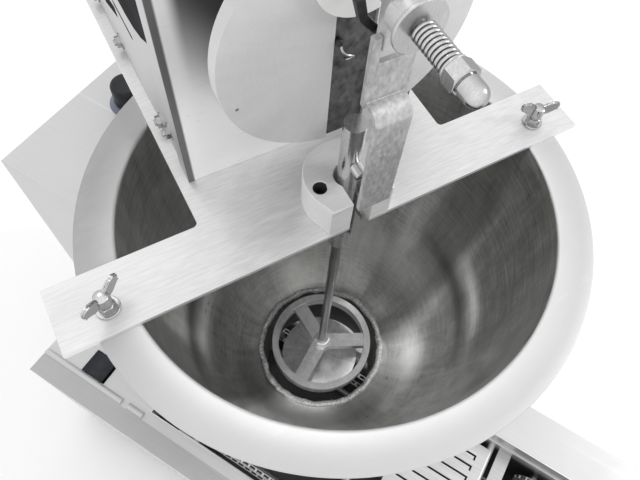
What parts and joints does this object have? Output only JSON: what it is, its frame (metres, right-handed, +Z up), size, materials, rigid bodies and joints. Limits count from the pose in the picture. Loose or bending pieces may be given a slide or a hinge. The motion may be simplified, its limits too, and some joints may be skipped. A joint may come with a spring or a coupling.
{
  "type": "automatic doughnut maker",
  "caption": "Automatic doughnut maker: dough hopper with crank-driven plunger on a swivel post above a conveyor fryer.",
  "frame": {"origin": "centre of the machine's footprint on the table", "axes": "+X along the oil tank towards the discharge chute, +Y to the back, +Z up"},
  "size_m": [1.05, 0.378, 0.778],
  "materials": {
    "sheet_steel": "satin",
    "bowl_steel": "satin",
    "polished_steel": "polished",
    "dark_steel": "satin",
    "aluminium_face": "satin",
    "white_nylon": "matte",
    "black_plastic": "matte",
    "black_rubber": "matte",
    "lamp_lens": "gloss",
    "red_plastic": "gloss",
    "motor_paint": "satin"
  },
  "bodies": {
    "head": {"hopper_bowl": "bowl_steel", "outlet_cylinder": "bowl_steel", "outlet_clamp_ring": "sheet_steel", "bridge_plate": "sheet_steel", "guide_boss": "sheet_steel", "guide_sleeve": "sheet_steel", "flange_weld_nuts": "polished_steel", "housing_front_cover": "polished_steel", "housing_shell": "sheet_steel", "housing_bolts": "polished_steel", "gearbox": "motor_paint", "gear_motor": "motor_paint", "motor_stand": "motor_paint", "shaft_bearing": "motor_paint", "swivel_hub": "polished_steel"},
    "left_wing": {"wing_bolt_left": "polished_steel"},
    "right_wing": {"wing_bolt_right": "polished_steel"},
    "clamp": {"clamp_handle": "dark_steel"},
    "crank": {"crank_disc": "aluminium_face", "crank_shaft": "polished_steel"},
    "stroke": {"stroke_slide": "dark_steel", "crank_pin": "polished_steel", "nylon_spacer": "white_nylon", "thrust_washer": "polished_steel", "retaining_spring": "polished_steel", "spring_washer": "polished_steel", "acorn_nut": "polished_steel"},
    "fork": {"connecting_fork": "sheet_steel", "fork_block": "aluminium_face", "keeper_lever": "dark_steel"},
    "plunger": {"guide_rod": "polished_steel", "pivot_bolt": "polished_steel", "plunger_rod": "dark_steel", "spider_ring": "bowl_steel", "hub_nut": "polished_steel", "cutter_disc": "aluminium_face"},
    "fryer": {"cabinet": "sheet_steel", "feet": "black_rubber", "oil_tank": "sheet_steel", "heater_element": "dark_steel", "conveyor_rails": "sheet_steel", "conveyor_chains": "sheet_steel", "conveyor_flights": "sheet_steel", "discharge_chute": "sheet_steel", "column_shell": "sheet_steel", "column_back_panel": "sheet_steel", "swivel_post": "polished_steel", "indicator_lamps": "lamp_lens", "cord_gland": "black_plastic", "drain_pipe": "polished_steel", "conveyor_motor": "motor_paint"},
    "speed": {"speed_knob": "black_plastic"},
    "temperature": {"temperature_knob": "black_plastic"},
    "switch": {"rocker_switch": "black_plastic"},
    "turner": {"turner": "sheet_steel"},
    "drain": {"drain_lever": "red_plastic"},
    "intake": {"intake_shaft": "sheet_steel"},
    "transfer": {"transfer_shaft": "sheet_steel"},
    "return": {"return_shaft": "sheet_steel"},
    "exit": {"exit_shaft": "sheet_steel"}
  },
  "joints": [
    {"name": "head_swivel", "type": "hinge", "parent": "fryer", "child": "head", "pos_m": [-0.44387, 0.09996, 0.54], "axis": [0, 0, 1], "range_deg": [0, 90]},
    {"name": "crank_turn", "type": "hinge", "parent": "head", "child": "crank", "pos_m": [-0.262, -0.00504, 0.689], "axis": [-0.866, 0.5, 0], "continuous": true},
    {"name": "stroke_setting", "type": "slide", "parent": "crank", "child": "stroke", "axis": [0, 0, 1], "range_m": [-0.018, 0]},
    {"name": "fork_swing", "type": "hinge", "parent": "stroke", "child": "fork", "pos_m": [-0.262, -0.00504, 0.729], "axis": [-0.866, 0.5, 0], "continuous": true},
    {"name": "plunger_slide", "type": "slide", "parent": "head", "child": "plunger", "axis": [0, 0, 1], "range_m": [-0.08, 0]},
    {"name": "left_wing_turn", "type": "hinge", "parent": "head", "child": "left_wing", "pos_m": [-0.32904, -0.12915, 0.575], "axis": [0, 0, 1], "continuous": true},
    {"name": "right_wing_turn", "type": "hinge", "parent": "head", "child": "right_wing", "pos_m": [-0.18804, 0.11507, 0.575], "axis": [0, 0, 1], "continuous": true},
    {"name": "clamp_turn", "type": "hinge", "parent": "head", "child": "clamp", "pos_m": [-0.42386, 0.1346, 0.534], "axis": [0.5, 0.866, 0], "continuous": true},
    {"name": "speed_turn", "type": "hinge", "parent": "fryer", "child": "speed", "pos_m": [-0.484, 0.03496, 0.475], "axis": [0, 0, 1], "range_deg": [-135, 135]},
    {"name": "temperature_turn", "type": "hinge", "parent": "fryer", "child": "temperature", "pos_m": [-0.022, -0.17704, 0.118], "axis": [0, -1, 0], "range_deg": [-270, 0]},
    {"name": "switch_rock", "type": "hinge", "parent": "fryer", "child": "switch", "pos_m": [-0.464, -0.12604, 0.195], "axis": [0, 1, 0], "range_deg": [-7, 7]},
    {"name": "turner_lift", "type": "hinge", "parent": "fryer", "child": "turner", "pos_m": [-0.05, -0.04854, 0.168], "axis": [0, 1, 0], "range_deg": [0, 140]},
    {"name": "drain_turn", "type": "hinge", "parent": "fryer", "child": "drain", "pos_m": [0.405, -0.00504, 0.11], "axis": [0, 0, 1], "range_deg": [-90, 0]},
    {"name": "exit_turn", "type": "hinge", "parent": "fryer", "child": "exit", "pos_m": [0.298, -0.04854, 0.14], "axis": [0, 1, 0], "continuous": true},
    {"name": "intake_turn", "type": "hinge", "parent": "fryer", "child": "intake", "pos_m": [-0.342, -0.04854, 0.14], "axis": [0, 1, 0], "continuous": true},
    {"name": "transfer_turn", "type": "hinge", "parent": "fryer", "child": "transfer", "pos_m": [-0.174, -0.04854, 0.14], "axis": [0, 1, 0], "continuous": true},
    {"name": "return_turn", "type": "hinge", "parent": "fryer", "child": "return", "pos_m": [0.013, -0.04854, 0.14], "axis": [0, 1, 0], "continuous": true}
  ],
  "couplings": [
    {"joint": "fork_swing", "follows": "crank_turn", "ratio": -1},
    {"joint": "intake_turn", "follows": "exit_turn", "ratio": 1},
    {"joint": "transfer_turn", "follows": "exit_turn", "ratio": 1},
    {"joint": "return_turn", "follows": "exit_turn", "ratio": 1}
  ]
}
